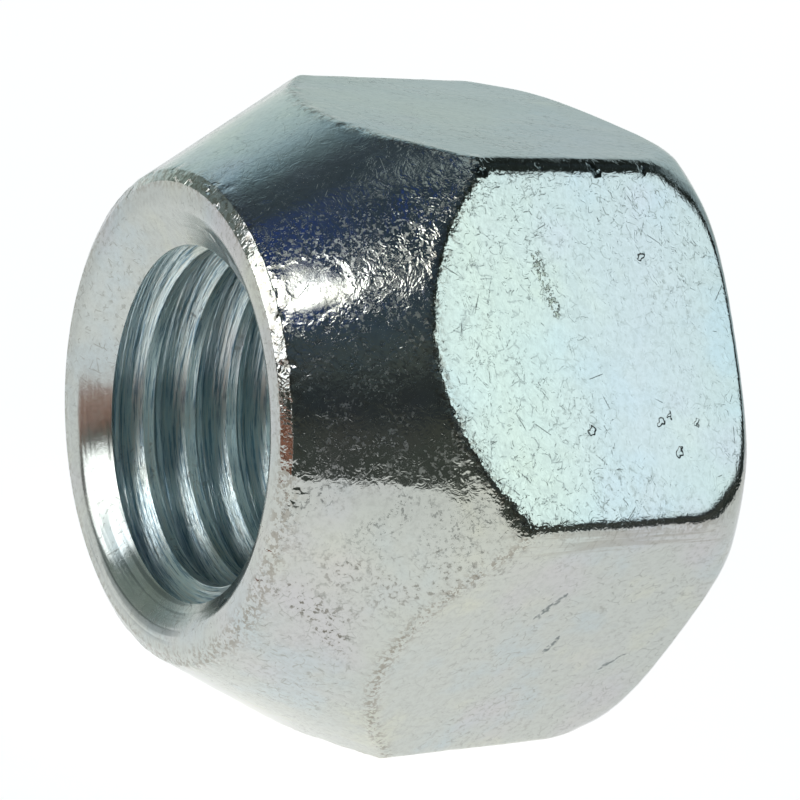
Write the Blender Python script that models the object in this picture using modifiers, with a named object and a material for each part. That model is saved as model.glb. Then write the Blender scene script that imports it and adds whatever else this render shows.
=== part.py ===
"""Open-ended wheel nut with a 60 degree conical seat.

Metres, +Z up. The nut lies on one hexagon flat. Its axis runs along X, from
the seat end at -X to the outer end at +X, at half the width across flats above
the ground. The origin is below the middle of the nut's length.
"""
import math

import bmesh
import bpy
from mathutils import Matrix, Vector

# Hexagon
ACROSS_FLATS = 0.0190
CORNER_RADIUS = 0.0004      # rounding along the six corners
LENGTH = 0.01456            # seat end to outer end

# Conical seat at -X
SEAT_ANGLE = 60.0           # included, degrees
SEAT_END_DIAMETER = 0.01468 # where the cone would meet the end face
SEAT_EDGE_RADIUS = 0.00034  # rounding between the cone and the end face

# Turned outer end at +X
OUTER_CHAMFER_HEIGHT = 0.00213   # from the outer end, measured at a hexagon corner
OUTER_CHAMFER_SLOPE = 20.6       # degrees from the axis
OUTER_EDGE_RADIUS = 0.00147      # rounding between the chamfer and the end face

# Thread M12 x 1.5
THREAD_DIAMETER = 0.0120
THREAD_PITCH = 0.0015
THREAD_START = 0.000066   # from the seat end to the first crest, on the lowest side
THREAD_STEPS = 32         # facets in one turn of the thread
CORE_RADIUS = 0.0049      # drilled first, so that the thread cuts cleanly
SEAT_COUNTERSINK_DIAMETER = 0.01295
SEAT_COUNTERSINK_ANGLE = 110.0   # included, degrees
OUTER_COUNTERSINK_DIAMETER = 0.0127
OUTER_COUNTERSINK_ANGLE = 110.0  # included, degrees

STEPS = 96                  # facets round the turned faces
ARC_STEPS = 4

MINOR_RADIUS = THREAD_DIAMETER / 2 - 5 / 8 * THREAD_PITCH * math.cos(math.radians(30))
CORNER = ACROSS_FLATS / math.sqrt(3)        # axis to a sharp hexagon corner
OVER = 0.002                                # cutters run past the faces


def fillet(before, corner, after, radius, steps):
    """Points that round a corner of an (x, r) profile with an arc."""
    a = (Vector(before) - Vector(corner)).normalized()
    b = (Vector(after) - Vector(corner)).normalized()
    half = a.angle(b) / 2
    centre = Vector(corner) + (a + b).normalized() * radius / math.sin(half)
    start = Vector(corner) + a * radius / math.tan(half) - centre
    end = Vector(corner) + b * radius / math.tan(half) - centre
    turn = start.angle_signed(end)
    return [tuple(centre + Matrix.Rotation(-turn * k / steps, 2) @ start)
            for k in range(steps + 1)]


def collection(name):
    new = bpy.data.collections.new(name)
    bpy.context.scene.collection.children.link(new)
    return new


def turned(name, profile, group, steps=STEPS):
    """A solid of revolution about X from (x, r) points that run from +X to -X."""
    mesh = bpy.data.meshes.new(name)
    bm = bmesh.new()
    verts = [bm.verts.new((r, 0.0, x)) for x, r in profile]
    for a, b in zip(verts, verts[1:]):
        bm.edges.new((a, b))
    bm.to_mesh(mesh)
    bm.free()
    obj = bpy.data.objects.new(name, mesh)
    group.objects.link(obj)
    screw = obj.modifiers.new("turn", 'SCREW')
    screw.axis = 'Z'
    screw.angle = 2 * math.pi
    screw.steps = steps
    screw.render_steps = steps
    screw.use_merge_vertices = True
    screw.merge_threshold = 0.000001
    screw.use_smooth_shade = True
    obj.rotation_euler = (0.0, math.radians(90), 0.0)
    obj.location = (0.0, 0.0, ACROSS_FLATS / 2)
    return obj


def cutter(obj):
    obj.hide_render = True
    obj.display_type = 'WIRE'


def blank_profile():
    """The turned outline, from the axis at the outer end to the axis at the seat end."""
    wide = CORNER + 0.0005
    outer, inner = LENGTH / 2, -LENGTH / 2
    slope = math.tan(math.radians(OUTER_CHAMFER_SLOPE))
    chamfer_end = CORNER - OUTER_CHAMFER_HEIGHT * slope
    chamfer_start = (outer - OUTER_CHAMFER_HEIGHT - (wide - CORNER) / slope, wide)
    seat = math.tan(math.radians(SEAT_ANGLE / 2))
    seat_end = SEAT_END_DIAMETER / 2
    seat_start = (inner + (wide - seat_end) / seat, wide)
    points = [(outer, 0.0)]
    points += fillet((outer, 0.0), (outer, chamfer_end), chamfer_start, OUTER_EDGE_RADIUS,
                     2 * ARC_STEPS)
    points += [chamfer_start, seat_start]
    points += fillet(seat_start, (inner, seat_end), (inner, 0.0), SEAT_EDGE_RADIUS, ARC_STEPS)
    points.append((inner, 0.0))
    return points


def bore_profile():
    """The drilled hole, a little inside the thread, with a countersink at each end."""
    outer, inner = LENGTH / 2, -LENGTH / 2
    rows = []
    for end, side, width, angle in (
            (outer, 1, OUTER_COUNTERSINK_DIAMETER, OUTER_COUNTERSINK_ANGLE),
            (inner, -1, SEAT_COUNTERSINK_DIAMETER, SEAT_COUNTERSINK_ANGLE)):
        lean = math.tan(math.radians(angle / 2))
        mouth = (end + side * OVER, width / 2 + OVER * lean)
        foot = (end - side * (width / 2 - CORE_RADIUS) / lean, CORE_RADIUS)
        rows.append([mouth, foot])
    (mouth_out, foot_out), (mouth_in, foot_in) = rows
    return [(mouth_out[0], 0.0), mouth_out, foot_out, foot_in, mouth_in, (mouth_in[0], 0.0)]


def tap(group):
    """The thread's groove and core as one helical cutter that runs past both ends."""
    crest, flank, root = THREAD_PITCH / 4, THREAD_PITCH * 5 / 16, THREAD_PITCH / 8
    turns = math.ceil((LENGTH + 2 * OVER) / THREAD_PITCH)
    start = -LENGTH / 2 - 2 * THREAD_PITCH + THREAD_START
    rows = [(0.0, MINOR_RADIUS), (crest, MINOR_RADIUS),
            (crest + flank, THREAD_DIAMETER / 2), (crest + flank + root, THREAD_DIAMETER / 2),
            (THREAD_PITCH, MINOR_RADIUS)]
    mesh = bpy.data.meshes.new("tap")
    bm = bmesh.new()
    verts = [bm.verts.new((r, 0.0, x)) for x, r in rows]
    edges = [bm.edges.new(pair) for pair in zip(verts, verts[1:])]
    bmesh.ops.spin(bm, geom=verts + edges, cent=(0.0, 0.0, 0.0), axis=(0.0, 0.0, 1.0),
                   dvec=(0.0, 0.0, THREAD_PITCH / THREAD_STEPS), angle=2 * math.pi * turns,
                   steps=THREAD_STEPS * turns, use_merge=False)
    bmesh.ops.remove_doubles(bm, verts=bm.verts, dist=0.000001)
    for z in (-OVER, (turns + 1) * THREAD_PITCH + OVER):
        rim = [e for e in bm.edges if e.is_boundary
               and abs(e.verts[0].co.z - z) < (turns * THREAD_PITCH) / 2]
        new = bmesh.ops.extrude_edge_only(bm, edges=rim)["geom"]
        tips = [g for g in new if isinstance(g, bmesh.types.BMVert)]
        bmesh.ops.pointmerge(bm, verts=tips, merge_co=(0.0, 0.0, z))
    bmesh.ops.recalc_face_normals(bm, faces=bm.faces)
    bmesh.ops.translate(bm, verts=bm.verts, vec=(0.0, 0.0, start))
    bm.to_mesh(mesh)
    bm.free()
    obj = bpy.data.objects.new("tap", mesh)
    group.objects.link(obj)
    obj.rotation_euler = (0.0, math.radians(90), 0.0)
    obj.location = (0.0, 0.0, ACROSS_FLATS / 2)
    return obj


def hexagon(group):
    mesh = bpy.data.meshes.new("hexagon")
    bm = bmesh.new()
    bmesh.ops.create_cone(bm, cap_ends=True, segments=6, radius1=CORNER, radius2=CORNER,
                          depth=LENGTH + 2 * OVER)
    long_edges = [e for e in bm.edges if abs(e.verts[0].co.z - e.verts[1].co.z) > LENGTH]
    bmesh.ops.bevel(bm, geom=long_edges, offset=CORNER_RADIUS * math.tan(math.radians(30)),
                    offset_type='OFFSET', segments=ARC_STEPS, profile=0.5, affect='EDGES')
    bm.to_mesh(mesh)
    bm.free()
    obj = bpy.data.objects.new("hexagon", mesh)
    group.objects.link(obj)
    return obj


def steel():
    mat = bpy.data.materials.new("zinc_plated_steel")
    mat.use_nodes = True
    shader = mat.node_tree.nodes["Principled BSDF"]
    shader.inputs["Base Color"].default_value = (0.62, 0.67, 0.67, 1.0)
    shader.inputs["Metallic"].default_value = 1.0
    shader.inputs["Roughness"].default_value = 0.28
    return mat


def main():
    for obj in list(bpy.data.objects):
        bpy.data.objects.remove(obj, do_unlink=True)
    parts = collection("lug_nut")
    tools = collection("lug_nut_cutters")

    body = turned("nut_body", blank_profile(), parts)
    hexa = hexagon(tools)
    bore = turned("bore", bore_profile(), tools)
    tap_tool = tap(tools)

    # The six flats, cut from the turned blank
    hexa.rotation_euler = (0.0, math.radians(90), 0.0)
    hexa.location = (0.0, 0.0, ACROSS_FLATS / 2)
    flats = body.modifiers.new("flats", 'BOOLEAN')
    flats.operation = 'INTERSECT'
    flats.solver = 'EXACT'
    flats.object = hexa
    drill = body.modifiers.new("drill", 'BOOLEAN')
    drill.operation = 'DIFFERENCE'
    drill.solver = 'EXACT'
    drill.object = bore
    thread = body.modifiers.new("thread", 'BOOLEAN')
    thread.operation = 'DIFFERENCE'
    thread.solver = 'EXACT'
    thread.object = tap_tool
    for tool in (hexa, bore, tap_tool):
        cutter(tool)
    body.data.materials.append(steel())


main()
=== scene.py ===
"""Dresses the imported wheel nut: one detailed body, its plated finish, and a small studio."""

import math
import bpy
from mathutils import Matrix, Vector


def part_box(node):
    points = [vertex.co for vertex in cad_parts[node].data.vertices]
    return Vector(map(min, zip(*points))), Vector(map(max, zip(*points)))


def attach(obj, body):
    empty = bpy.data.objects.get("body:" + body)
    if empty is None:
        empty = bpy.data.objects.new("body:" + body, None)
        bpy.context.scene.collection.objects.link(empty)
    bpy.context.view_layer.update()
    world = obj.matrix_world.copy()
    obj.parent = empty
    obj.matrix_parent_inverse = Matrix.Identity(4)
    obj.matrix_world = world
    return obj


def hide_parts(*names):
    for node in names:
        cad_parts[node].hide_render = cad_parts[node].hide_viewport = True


bl_info = {
    "name": "Wheel nut",
    "version": (1, 0, 0),
    "blender": (4, 5, 0),
    "location": "View3D > Sidebar > Wheel nut",
    "description": "Builds a zinc-plated, conical-seat wheel nut over its CAD frame",
    "category": "Mesh",
}

import bmesh
import bpy
import numpy as np
from bpy.props import (FloatProperty, FloatVectorProperty, IntProperty, PointerProperty)
from mathutils import Matrix, Vector, noise

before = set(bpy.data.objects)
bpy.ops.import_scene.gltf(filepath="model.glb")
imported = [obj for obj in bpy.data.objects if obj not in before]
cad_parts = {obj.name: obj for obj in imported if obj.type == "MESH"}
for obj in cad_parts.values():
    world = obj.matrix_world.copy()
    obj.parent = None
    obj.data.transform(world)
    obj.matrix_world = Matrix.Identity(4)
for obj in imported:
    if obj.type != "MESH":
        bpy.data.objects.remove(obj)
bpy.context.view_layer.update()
LOW, HIGH = (Vector(corner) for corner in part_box("nut_body"))
AXIS_HEIGHT = (LOW.z + HIGH.z) / 2

MM = 0.001
BLANK_ALLOWANCE = 0.5 * MM    # how far the turned blank reaches past the corners
CORE_ALLOWANCE = 1.1 * MM     # how far the core bore lies inside the nominal thread

# Colours of the marks on the outside (painted shade in the creases and strokes, mixed with
# random grain; the scuff; painted shade in the pits, nicks, scratches and mouth streaks),
# of painted shade at the thread's roots and of the lines in the bore, and of the hood
# overhead and where no light reaches it
CREASE_SHADE_AND_GRAIN = (0.36, 0.37, 0.34, 1.0)
OLIVE = (0.27, 0.28, 0.20, 1.0)
MARK_SHADE = (0.09, 0.12, 0.12, 1.0)
ROOT_SHADE = (0.20, 0.32, 0.40, 1.0)
LINE_BLUE = (0.20, 0.33, 0.42, 1.0)
LINE_PALE = (0.80, 0.82, 0.76, 1.0)
OVERHEAD = (0.35, 0.41, 0.43, 1.0)
UNLIT = (0.022, 0.030, 0.028, 1.0)

# Lone marks on the two front flats: places along the axis and up the flat from its
# middle, and half-widths, in millimetres
SCUFF = ((0.30, 2.60), (0.75, 0.95), 0.26)
SCRATCHES = (((0.95, 1.62), (1.48, 2.61), 0.14), ((2.15, -0.27), (2.33, 0.46), 0.11),
             ((4.85, -1.46), (5.41, -0.87), 0.10))
EDGE_NICKS = (((2.72, 5.42), (2.86, 5.12), 0.20), ((4.55, 5.42), (4.62, 5.22), 0.15),
              ((-1.25, 5.22), (-1.10, 5.10), 0.20), ((0.90, 5.40), (0.95, 5.28), 0.13))
RING_PITS = ((4.02, 2.56, 0.17), (1.41, -2.54, 0.16), (3.88, -2.38, 0.17),
             (4.24, -2.20, 0.11), (4.41, -3.28, 0.15), (5.22, -2.45, 0.11))


# Settings

def as_length(name, description, default, precision=5):
    return FloatProperty(name=name, description=description, default=default,
                         unit='LENGTH', precision=precision)


def as_angle(name, description, degrees):
    return FloatProperty(name=name, description=description,
                         default=math.radians(degrees), subtype='ANGLE')


def as_colour(name, description, default):
    return FloatVectorProperty(name=name, description=description, default=default,
                               subtype='COLOR')


class NutSizes(bpy.types.PropertyGroup):
    across_flats: as_length("Across flats", "Width of the hexagon between opposite flats",
                            HIGH.z - LOW.z)
    length: as_length("Length", "From the seat end to the outer end", HIGH.x - LOW.x)
    seat_angle: as_angle("Seat angle", "Included angle of the conical seat", 60)
    seat_end_diameter: as_length("Seat end diameter",
                                 "Where the cone would meet the end face", 14.68 * MM)
    seat_edge_setback: as_length("Seat edge setback", "How far the worn edge between the cone"
                                 " and the end face is set back along each", 0.25 * MM)
    mouth_radius: as_length("Mouth radius",
                            "Rounding between an end face and its countersink", 1.0 * MM)
    chamfer_height: as_length("Outer chamfer height",
                              "Length of the outer chamfer at a corner", 2.13 * MM)
    chamfer_slope: as_angle("Outer chamfer slope",
                            "Slope of the outer chamfer from the axis", 20.6)
    outer_edge_radius: as_length("Outer edge radius",
                                 "Rounding between the chamfer and the end face", 1.47 * MM)
    thread_diameter: as_length("Thread diameter", "Nominal diameter of the thread", 12 * MM)
    thread_pitch: as_length("Thread pitch", "Distance from one crest to the next", 1.5 * MM)
    thread_start: as_length("Thread start", "From the seat end to the first crest's far edge",
                            0.816 * MM)
    seat_countersink: as_length("Seat countersink",
                                "Diameter of the countersink in the seat end", 12.95 * MM)
    outer_countersink: as_length("Outer countersink",
                                 "Diameter of the countersink in the outer end", 12.7 * MM)
    countersink_angle: as_angle("Countersink angle", "Included angle of both countersinks",
                                110)
    corner_blend: as_length("Corner blend", "Softening along the six corners", 0.34 * MM)
    seat_blend: as_length("Seat blend", "Softening where the flats meet the cone", 0.07 * MM)
    outer_blend: as_length("Outer blend", "Softening where the flats meet the outer end",
                           0.24 * MM)
    nick_depth: as_length("Nick depth", "Depth of the nicks and burrs along the edges",
                          0.045 * MM, precision=6)
    columns: IntProperty(
        name="Columns", description="Columns of faces round the nut", default=420, min=48)


class NutFinish(bpy.types.PropertyGroup):
    zinc: as_colour("Zinc", "Colour of the clean plating", (0.565, 0.59, 0.555))
    cool_tint: as_colour("Cool tint", "Bluish colour of the passivation film",
                         (0.52, 0.60, 0.63))
    warm_tint: as_colour("Warm tint", "Yellowish colour of the passivation film",
                         (0.635, 0.645, 0.545))
    # Worn plating round the rim and along the edges; along the edges it is also painted shade
    worn: as_colour("Worn edge", "Colour where the plating is rubbed along the edges",
                    (0.30, 0.27, 0.22))
    dirt: as_colour("Dirt", "Colour of the specks of grime", (0.29, 0.26, 0.21))
    lilac_tint: as_colour("Lilac tint", "Lilac colour of the passivation film",
                          (0.60, 0.575, 0.60))
    # The bore's zinc is paler than the outside's: painted light in the bore
    bore_zinc_painted_light: as_colour("Bore zinc", "Colour of the plating in the bore",
                         (0.76, 0.87, 0.86))
    roughness: FloatProperty(
        name="Roughness", description="Roughness of the plating between its dents",
        default=0.075, min=0.0, max=1.0)
    dent_depth: as_length("Dent depth", "Depth of the fine dents left by tumbling",
                          0.024 * MM, precision=6)


class StudioSettings(bpy.types.PropertyGroup):
    floor_glow: FloatProperty(
        name="Floor brightness", description="Brightness of the floor as the metal shows it",
        default=0.82)
    panel_glow: FloatProperty(
        name="Panel brightness", description="Brightness of the large panel at the right",
        default=1.35)
    window_glow: FloatProperty(
        name="Window brightness", description="Brightness of the window that the bore faces",
        default=2.6)
    lamp_glow: FloatProperty(
        name="Lamp brightness", description="Brightness of the small lamp", default=8.0)


# Shape

def rounded(before, corner, after, radius, step):
    """Points that round a corner of an (x, r) outline with an arc, about step apart."""
    a = (Vector(before) - Vector(corner)).normalized()
    b = (Vector(after) - Vector(corner)).normalized()
    half = a.angle(b) / 2
    centre = Vector(corner) + (a + b).normalized() * radius / math.sin(half)
    start = Vector(corner) + a * radius / math.tan(half) - centre
    end = Vector(corner) + b * radius / math.tan(half) - centre
    turn = start.angle_signed(end)
    count = max(3, round(abs(turn) * radius / step))
    return [tuple(centre + Matrix.Rotation(-turn * k / count, 2) @ start)
            for k in range(count + 1)]


def spaced(points, step):
    """The same outline with extra points, no further than step apart."""
    out = [Vector(points[0])]
    for a, b in zip(points, points[1:]):
        a, b = Vector(a), Vector(b)
        count = max(1, math.ceil((b - a).length / step))
        out += [a.lerp(b, k / count) for k in range(1, count + 1)]
    return out


def turned_outline(s):
    """The section of the turned blank as (x, r) points, from the seat-end bore round the
    outside to the outer-end bore. Each stretch is spaced as finely as it needs."""
    inner, outer = -s.length / 2, s.length / 2
    corner = s.across_flats / math.sqrt(3)
    wide = corner + BLANK_ALLOWANCE
    core = s.thread_diameter / 2 - CORE_ALLOWANCE
    lean = math.tan(s.countersink_angle / 2)
    seat = math.tan(s.seat_angle / 2)
    slope = math.tan(s.chamfer_slope)
    seat_end = s.seat_end_diameter / 2
    seat_start = (inner + (wide - seat_end) / seat, wide)
    chamfer_start = (outer - s.chamfer_height - (wide - corner) / slope, wide)
    chamfer_end = corner - s.chamfer_height * slope
    r_in, r_out = s.seat_countersink / 2, s.outer_countersink / 2
    foot_in = (inner + (r_in - core) / lean, core)
    foot_out = (outer - (r_out - core) / lean, core)

    # The last number of each rounding or stretch is how far apart its points are
    lip_in = rounded(foot_in, (inner, r_in), (inner, seat_end), s.mouth_radius, 0.07 * MM)
    bevel_foot = (inner, seat_end - s.seat_edge_setback)
    bevel_top = (inner + s.seat_edge_setback * math.cos(s.seat_angle / 2),
                 seat_end + s.seat_edge_setback * math.sin(s.seat_angle / 2))
    seat_edge = (rounded(lip_in[-1], bevel_foot, bevel_top, 0.12 * MM, 0.03 * MM)
                 + rounded(bevel_foot, bevel_top, seat_start, 0.14 * MM, 0.03 * MM))
    outer_edge = rounded(chamfer_start, (outer, chamfer_end), (outer, r_out),
                         s.outer_edge_radius, 0.09 * MM)
    lip_out = rounded((outer, chamfer_end), (outer, r_out), foot_out, s.mouth_radius,
                      0.12 * MM)
    parts = [spaced([foot_in, lip_in[0]], 0.25 * MM), lip_in,
             spaced([lip_in[-1], seat_edge[0]], 0.12 * MM), spaced(seat_edge, 0.06 * MM),
             spaced([seat_edge[-1], seat_start], 0.13 * MM),
             spaced([seat_start, chamfer_start], 0.16 * MM),
             spaced([chamfer_start, outer_edge[0]], 0.13 * MM), outer_edge,
             spaced([outer_edge[-1], lip_out[0]], 0.4 * MM), lip_out,
             spaced([lip_out[-1], foot_out], 0.4 * MM)]
    points = [Vector(parts[0][0])]
    for part in parts:
        points += [Vector(p) for p in part if (Vector(p) - points[-1]).length > 1e-7]
    return points


def soft_max(a, b, blend):
    """The larger of two distances, with the edge between them rounded."""
    a1, b1 = np.maximum(a + blend, 0.0), np.maximum(b + blend, 0.0)
    return np.where((a > -blend) & (b > -blend), np.hypot(a1, b1) - blend, np.maximum(a, b))


def hexagon_distance(points, s):
    """How far each point lies outside the hexagon, with its corners rounded."""
    flat = s.across_flats / 2
    best = np.full(len(points), -1.0)
    for angle in range(30, 360, 60):
        c, d = math.cos(math.radians(angle)), math.sin(math.radians(angle))
        best = soft_max(best, points[:, 1] * c + points[:, 2] * d - flat, s.corner_blend)
    return best


def seat_distance(points, s):
    """How far each point lies outside the cone of the seat."""
    r = np.hypot(points[:, 1], points[:, 2])
    half = s.seat_angle / 2
    return ((r - s.seat_end_diameter / 2) * math.cos(half)
            - (points[:, 0] + s.length / 2) * math.sin(half))


def outer_distance(points, s):
    """How far each point lies outside the domed outer end."""
    x, r = points[:, 0], np.hypot(points[:, 1], points[:, 2])
    corner = s.across_flats / math.sqrt(3)
    t = math.tan(s.chamfer_slope)
    end_radius = corner - s.chamfer_height * t
    cone = ((r - end_radius) * math.cos(s.chamfer_slope)
            + (x - s.length / 2) * math.sin(s.chamfer_slope))
    face = x - s.length / 2
    # The rounding of the corner between cone and end face
    turn = math.pi / 2 - s.chamfer_slope
    back = s.outer_edge_radius * math.tan(turn / 2)
    cx, cr = s.length / 2 - s.outer_edge_radius, end_radius - back
    arc = np.hypot(x - cx, r - cr) - s.outer_edge_radius
    in_arc = (x > cx) & (r > cr) & ((r - cr) * math.tan(s.chamfer_slope) < (x - cx))
    return np.where(in_arc, arc, np.maximum(cone, face))


def body_distance(points, s):
    """How far each point lies outside the whole body, its edges softened."""
    hexa = hexagon_distance(points, s)
    seat = soft_max(hexa, seat_distance(points, s), s.seat_blend)
    return soft_max(seat, outer_distance(points, s), s.outer_blend)


def gradient(points, s, h=2e-6):
    """The direction straight out of the body at each point."""
    out = np.empty_like(points)
    for k in range(3):
        step = np.zeros(3)
        step[k] = h
        out[:, k] = (body_distance(points + step, s) - body_distance(points - step, s)) / (2 * h)
    return out / np.maximum(np.linalg.norm(out, axis=1), 1e-9)[:, None]


def cut_hexagon(points, s):
    """Presses the turned surface in to the six flats and rounds the edges between them."""
    hexa = hexagon_distance(points, s)
    rounding_reach = 0.5 * MM
    beside, over = hexa > -rounding_reach, hexa > 0
    moved = points.copy()
    low, high = np.full(len(points), 0.3), np.ones(len(points))
    for _ in range(30):                       # the share at which the ray meets the hexagon
        mid = (low + high) / 2
        trial = points.copy()
        trial[:, 1:] *= mid[:, None]
        beyond = hexagon_distance(trial, s) > 0
        high, low = np.where(beyond, mid, high), np.where(beyond, low, mid)
    moved[over, 1:] *= low[over, None]
    for _ in range(4):                        # then on to the rounded surface
        off = body_distance(moved, s)
        moved[beside] -= (off[:, None] * gradient(moved, s))[beside]
    return moved


def wear(points, s):
    """Nicks along the edges and a slight waviness everywhere, all of it inwards. Gives the
    moved points and, for each, how close it is to an edge of the hexagon and to the rim."""
    hexa = hexagon_distance(points, s)
    seat = seat_distance(points, s)
    outer = outer_distance(points, s)
    x, r = points[:, 0], np.hypot(points[:, 1], points[:, 2])

    def near(distance, width):
        return np.exp(-(distance / width) ** 2)

    at_flats = near(hexa, 0.12 * MM)
    curved = at_flats * np.maximum(near(seat, 0.16 * MM), near(outer, 0.12 * MM) * 0.45)
    angles = np.arctan2(points[:, 2], points[:, 1])
    to_corner = np.abs((angles / math.radians(60) + 0.5) % 1 - 0.5) * math.radians(60) * r
    corners = at_flats * near(to_corner, 0.22 * MM) * 0.55
    rim = near(x + s.length / 2, 0.40 * MM) * near(seat, 0.32 * MM)
    edges = np.maximum(curved, corners)
    away = gradient(points, s)
    out = points.copy()
    for i in np.nonzero(body_distance(points, s) > -0.05 * MM)[0]:
        p = Vector(points[i]) / MM
        wave = noise.noise(p * 0.35) * 0.008 + noise.noise(p * 1.3 + Vector((7, 3, 1))) * 0.003
        push = (wave - 0.006) * MM
        beside = max(edges[i], rim[i])
        if beside > 0.05:
            rag = noise.noise(p * 2.6) + 0.7 * noise.noise(p * 5.3 + Vector((4, 4, 4)))
            deep = max(0.0, noise.noise(p * 1.1 + Vector((9, 2, 5))) - 0.25) * 2.5
            push += beside * s.nick_depth * (rag * 0.7 - deep)
        out[i] += away[i] * min(push, 0.0)
    return out, edges, rim


def new_object(name, bm):
    """Puts a finished bmesh into the scene as an object."""
    mesh = bpy.data.meshes.new(name)
    bm.to_mesh(mesh)
    bm.free()
    obj = bpy.data.objects.new(name, mesh)
    bpy.context.scene.collection.objects.link(obj)
    return obj


def tap(s):
    """The helical cutter for the thread: its core and its ridge, closed at both tips."""
    steps, over = 96, 2 * s.thread_pitch
    # The standard section: 60 degree flanks, flat crests and roots
    deep = 5 / 8 * s.thread_pitch * math.cos(math.radians(30))
    major = s.thread_diameter / 2
    minor = major - deep
    crest, flank, root = s.thread_pitch / 4, s.thread_pitch * 5 / 16, s.thread_pitch / 8
    turns = math.ceil((s.length + 2 * over) / s.thread_pitch)
    ridge = [(0.0, minor), (crest, minor), (crest + flank, major),
             (crest + flank + root, major), (s.thread_pitch, minor)]
    lead = [(ridge[-2][0] - s.thread_pitch, major)]
    tail = [(ridge[1][0] + s.thread_pitch, minor)]
    flowing = lead + ridge + tail
    rows = [Vector(ridge[0])]
    for k in range(1, len(flowing) - 1):
        soft = 0.07 * MM if flowing[k][1] < (minor + major) / 2 else 0.05 * MM
        bend = rounded(flowing[k - 1], flowing[k], flowing[k + 1], soft, 0.05 * MM)
        rows += [Vector(p) for p in bend if 0.0 < p[0] < s.thread_pitch]
    rows.append(Vector(ridge[-1]))
    rows[0].y = rows[-1].y = minor
    bm = bmesh.new()
    verts = [bm.verts.new((x, r, 0.0)) for x, r in rows]
    edges = [bm.edges.new(pair) for pair in zip(verts, verts[1:])]
    bmesh.ops.spin(bm, geom=verts + edges, cent=(0, 0, 0), axis=(1, 0, 0),
                   dvec=(s.thread_pitch / steps, 0, 0), angle=2 * math.pi * turns,
                   steps=steps * turns, use_merge=False)
    bmesh.ops.remove_doubles(bm, verts=bm.verts, dist=1e-6)
    whole = (turns + 1) * s.thread_pitch
    for x in (-over, whole + over):
        rim = [e for e in bm.edges if e.is_boundary and abs(e.verts[0].co.x - x) < whole / 2]
        new = bmesh.ops.extrude_edge_only(bm, edges=rim)["geom"]
        tips = [g for g in new if isinstance(g, bmesh.types.BMVert)]
        bmesh.ops.pointmerge(bm, verts=tips, merge_co=(x, 0, 0))
    bmesh.ops.recalc_face_normals(bm, faces=bm.faces)
    behind = math.ceil(over / s.thread_pitch) * s.thread_pitch
    ahead = -s.length / 2 + s.thread_start - crest - behind
    bmesh.ops.translate(bm, verts=bm.verts, vec=(ahead, 0, 0))
    return new_object("tap", bm)


def nut_shell(s):
    """The outside of the nut, both countersinks and a core bore, as one closed mesh."""
    bm = bmesh.new()
    outline = turned_outline(s)
    verts = [bm.verts.new((p.x, p.y, 0.0)) for p in outline]
    edges = [bm.edges.new(pair) for pair in zip(verts, verts[1:] + verts[:1])]
    bmesh.ops.spin(bm, geom=verts + edges, cent=(0, 0, 0), axis=(1, 0, 0),
                   angle=2 * math.pi, steps=s.columns, use_merge=True)
    bmesh.ops.remove_doubles(bm, verts=bm.verts, dist=1e-7)
    bmesh.ops.recalc_face_normals(bm, faces=bm.faces)
    obj = new_object("lug_nut_body", bm)
    mesh = obj.data
    points = np.empty(len(mesh.vertices) * 3)
    mesh.vertices.foreach_get("co", points)
    points = points.reshape(-1, 3)
    reach = np.hypot(points[:, 1], points[:, 2])
    ring_middle = s.seat_countersink / 2 + 0.4 * MM
    outside = reach > ring_middle
    edge_wear_and_shade, rim_wear = np.zeros(len(points)), np.zeros(len(points))
    points[outside], edge_wear_and_shade[outside], rim_wear[outside] = wear(
        cut_hexagon(points[outside], s), s)
    mesh.vertices.foreach_set("co", points.ravel())
    in_mouth, on_ring_face = 6.7 * MM, 7.1 * MM     # tumbled fully from the second on
    tumbled = np.interp(reach, (in_mouth, on_ring_face), (0.22, 1.0))
    # Masks near the edges and the rim, for their wear; the edges' mask also carries painted
    # shade
    for name, values in (("edge_wear_and_shade", edge_wear_and_shade), ("rim_wear", rim_wear),
                         ("tumbled", tumbled)):
        mesh.attributes.new(name, 'FLOAT', 'POINT').data.foreach_set("value", values)
    mesh.update()
    return obj


# Node helpers

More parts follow.
